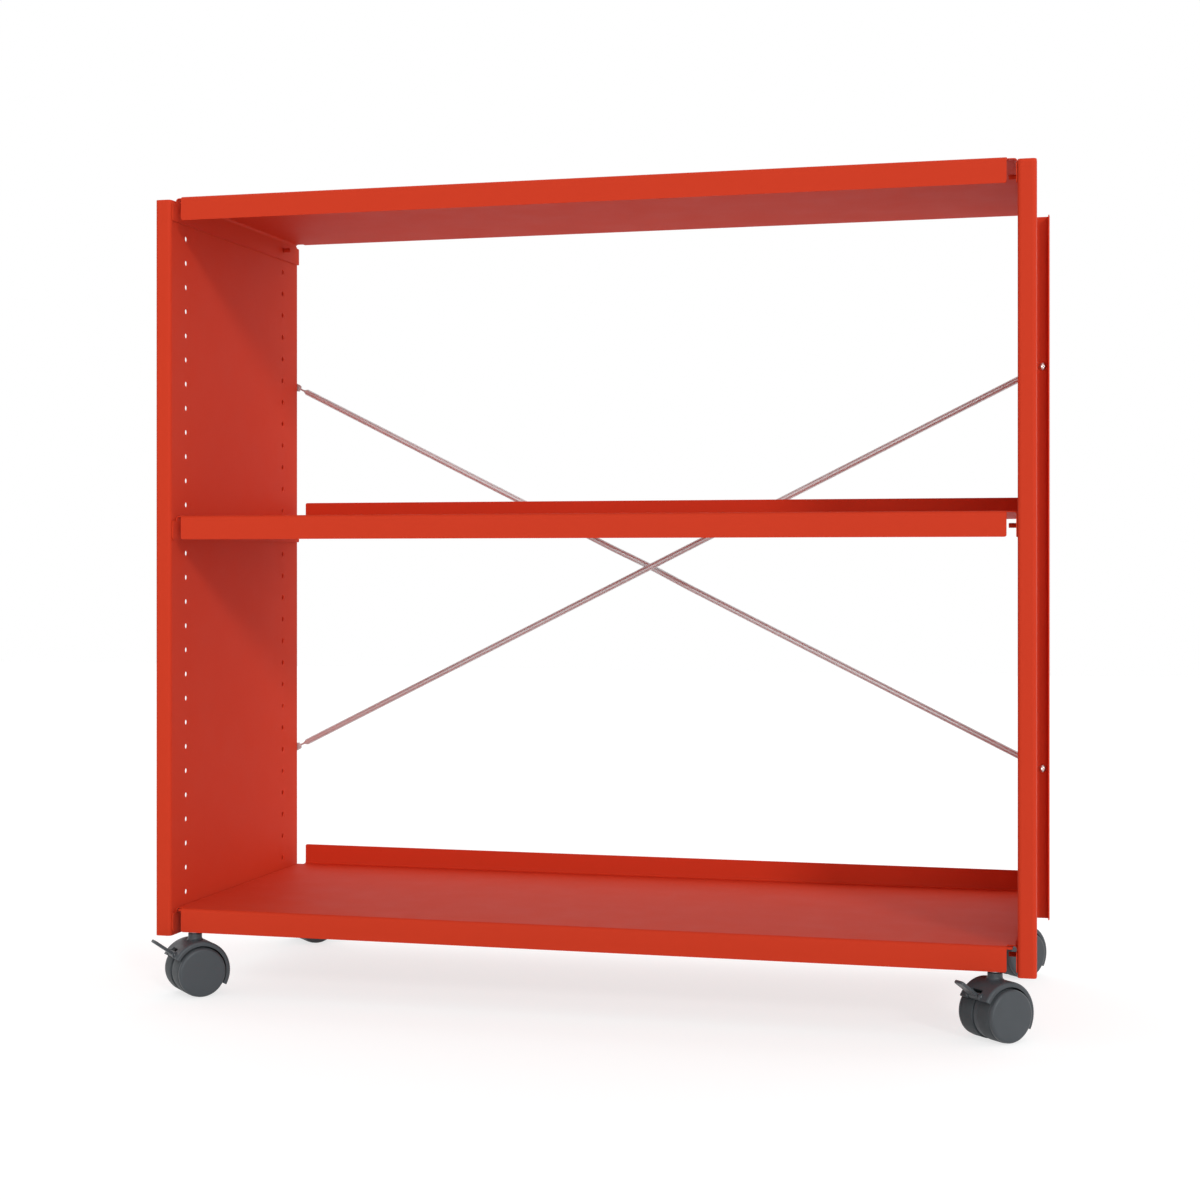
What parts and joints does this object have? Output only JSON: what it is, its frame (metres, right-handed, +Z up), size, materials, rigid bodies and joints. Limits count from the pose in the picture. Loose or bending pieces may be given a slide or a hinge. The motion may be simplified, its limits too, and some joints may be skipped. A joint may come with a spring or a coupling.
{
  "type": "rolling low shelving unit",
  "caption": "Low open shelving unit of folded red sheet steel with adjustable shelf trays between perforated side panels, crossed rear brace rods and braked swivel castors.",
  "frame": {"origin": "on the floor under the middle of the unit", "axes": "+X to the right along the shelves, +Y to the back, +Z up; the open front faces -Y"},
  "size_m": [0.88, 0.3766, 0.835],
  "materials": {
    "red_powder_coat": "smooth satin powder coat",
    "grey_rod": "light grey drawn rod",
    "bright_zinc": "bright zinc plate",
    "slate_plastic": "satin moulded polyamide",
    "dark_tread": "matt soft tread",
    "bare_steel": "turned steel"
  },
  "bodies": {
    "frame": {"left_side_panel": "red_powder_coat", "right_side_panel": "red_powder_coat", "bottom_shelf": "red_powder_coat", "middle_shelf": "red_powder_coat", "top_shelf": "red_powder_coat", "rising_brace": "grey_rod", "falling_brace": "grey_rod", "left_lower_brace_screw": "bright_zinc", "left_upper_brace_screw": "bright_zinc", "right_lower_brace_screw": "bright_zinc", "right_upper_brace_screw": "bright_zinc", "bottom_shelf_front_left_bolt": "bright_zinc", "bottom_shelf_front_right_bolt": "bright_zinc", "bottom_shelf_rear_left_bolt": "bright_zinc", "bottom_shelf_rear_right_bolt": "bright_zinc", "middle_shelf_front_left_bolt": "bright_zinc", "middle_shelf_front_right_bolt": "bright_zinc", "middle_shelf_rear_left_bolt": "bright_zinc", "middle_shelf_rear_right_bolt": "bright_zinc", "top_shelf_front_left_bolt": "bright_zinc", "top_shelf_front_right_bolt": "bright_zinc", "top_shelf_rear_left_bolt": "bright_zinc", "top_shelf_rear_right_bolt": "bright_zinc", "front_left_castor_plate": "red_powder_coat", "front_right_castor_plate": "red_powder_coat", "rear_left_castor_plate": "red_powder_coat", "rear_right_castor_plate": "red_powder_coat", "front_left_castor_stem": "bare_steel", "front_right_castor_stem": "bare_steel", "rear_left_castor_stem": "bare_steel", "rear_right_castor_stem": "bare_steel"},
    "front_left_swivel": {"front_left_castor_hood": "slate_plastic", "front_left_castor_axle": "bare_steel", "front_left_castor_lever_pin": "bare_steel"},
    "front_right_swivel": {"front_right_castor_hood": "slate_plastic", "front_right_castor_axle": "bare_steel", "front_right_castor_lever_pin": "bare_steel"},
    "rear_left_swivel": {"rear_left_castor_hood": "slate_plastic", "rear_left_castor_axle": "bare_steel"},
    "rear_right_swivel": {"rear_right_castor_hood": "slate_plastic", "rear_right_castor_axle": "bare_steel"},
    "front_left_left_wheel": {"front_left_castor_left_wheel": "slate_plastic", "front_left_castor_left_tyre": "dark_tread"},
    "front_left_right_wheel": {"front_left_castor_right_wheel": "slate_plastic", "front_left_castor_right_tyre": "dark_tread"},
    "front_right_left_wheel": {"front_right_castor_left_wheel": "slate_plastic", "front_right_castor_left_tyre": "dark_tread"},
    "front_right_right_wheel": {"front_right_castor_right_wheel": "slate_plastic", "front_right_castor_right_tyre": "dark_tread"},
    "rear_left_left_wheel": {"rear_left_castor_left_wheel": "slate_plastic", "rear_left_castor_left_tyre": "dark_tread"},
    "rear_left_right_wheel": {"rear_left_castor_right_wheel": "slate_plastic", "rear_left_castor_right_tyre": "dark_tread"},
    "rear_right_left_wheel": {"rear_right_castor_left_wheel": "slate_plastic", "rear_right_castor_left_tyre": "dark_tread"},
    "rear_right_right_wheel": {"rear_right_castor_right_wheel": "slate_plastic", "rear_right_castor_right_tyre": "dark_tread"},
    "front_left_brake": {"front_left_castor_brake_lever": "slate_plastic"},
    "front_right_brake": {"front_right_castor_brake_lever": "slate_plastic"}
  },
  "joints": [
    {"name": "front_left_swivel_turn", "type": "hinge", "parent": "frame", "child": "front_left_swivel", "pos_m": [-0.402, -0.1525, 0.025], "axis": [0, 0, 1], "continuous": true},
    {"name": "front_right_swivel_turn", "type": "hinge", "parent": "frame", "child": "front_right_swivel", "pos_m": [0.402, -0.1525, 0.025], "axis": [0, 0, 1], "continuous": true},
    {"name": "rear_left_swivel_turn", "type": "hinge", "parent": "frame", "child": "rear_left_swivel", "pos_m": [-0.402, 0.1525, 0.025], "axis": [0, 0, 1], "continuous": true},
    {"name": "rear_right_swivel_turn", "type": "hinge", "parent": "frame", "child": "rear_right_swivel", "pos_m": [0.402, 0.1525, 0.025], "axis": [0, 0, 1], "continuous": true},
    {"name": "front_left_left_wheel_spin", "type": "hinge", "parent": "front_left_swivel", "child": "front_left_left_wheel", "pos_m": [-0.402, -0.1525, 0.025], "axis": [-0.7071, 0.7071, 0], "continuous": true},
    {"name": "front_left_right_wheel_spin", "type": "hinge", "parent": "front_left_swivel", "child": "front_left_right_wheel", "pos_m": [-0.402, -0.1525, 0.025], "axis": [-0.7071, 0.7071, 0], "continuous": true},
    {"name": "front_right_left_wheel_spin", "type": "hinge", "parent": "front_right_swivel", "child": "front_right_left_wheel", "pos_m": [0.402, -0.1525, 0.025], "axis": [-0.7071, 0.7071, 0], "continuous": true},
    {"name": "front_right_right_wheel_spin", "type": "hinge", "parent": "front_right_swivel", "child": "front_right_right_wheel", "pos_m": [0.402, -0.1525, 0.025], "axis": [-0.7071, 0.7071, 0], "continuous": true},
    {"name": "rear_left_left_wheel_spin", "type": "hinge", "parent": "rear_left_swivel", "child": "rear_left_left_wheel", "pos_m": [-0.402, 0.1525, 0.025], "axis": [-0.7071, 0.7071, 0], "continuous": true},
    {"name": "rear_left_right_wheel_spin", "type": "hinge", "parent": "rear_left_swivel", "child": "rear_left_right_wheel", "pos_m": [-0.402, 0.1525, 0.025], "axis": [-0.7071, 0.7071, 0], "continuous": true},
    {"name": "rear_right_left_wheel_spin", "type": "hinge", "parent": "rear_right_swivel", "child": "rear_right_left_wheel", "pos_m": [0.402, 0.1525, 0.025], "axis": [-0.7071, 0.7071, 0], "continuous": true},
    {"name": "rear_right_right_wheel_spin", "type": "hinge", "parent": "rear_right_swivel", "child": "rear_right_right_wheel", "pos_m": [0.402, 0.1525, 0.025], "axis": [-0.7071, 0.7071, 0], "continuous": true},
    {"name": "front_left_brake_press", "type": "hinge", "parent": "front_left_swivel", "child": "front_left_brake", "pos_m": [-0.41894, -0.16944, 0.04305], "axis": [0.7071, -0.7071, 0], "range_deg": [0, 25]},
    {"name": "front_right_brake_press", "type": "hinge", "parent": "front_right_swivel", "child": "front_right_brake", "pos_m": [0.38506, -0.16944, 0.04305], "axis": [0.7071, -0.7071, 0], "range_deg": [0, 25]}
  ]
}
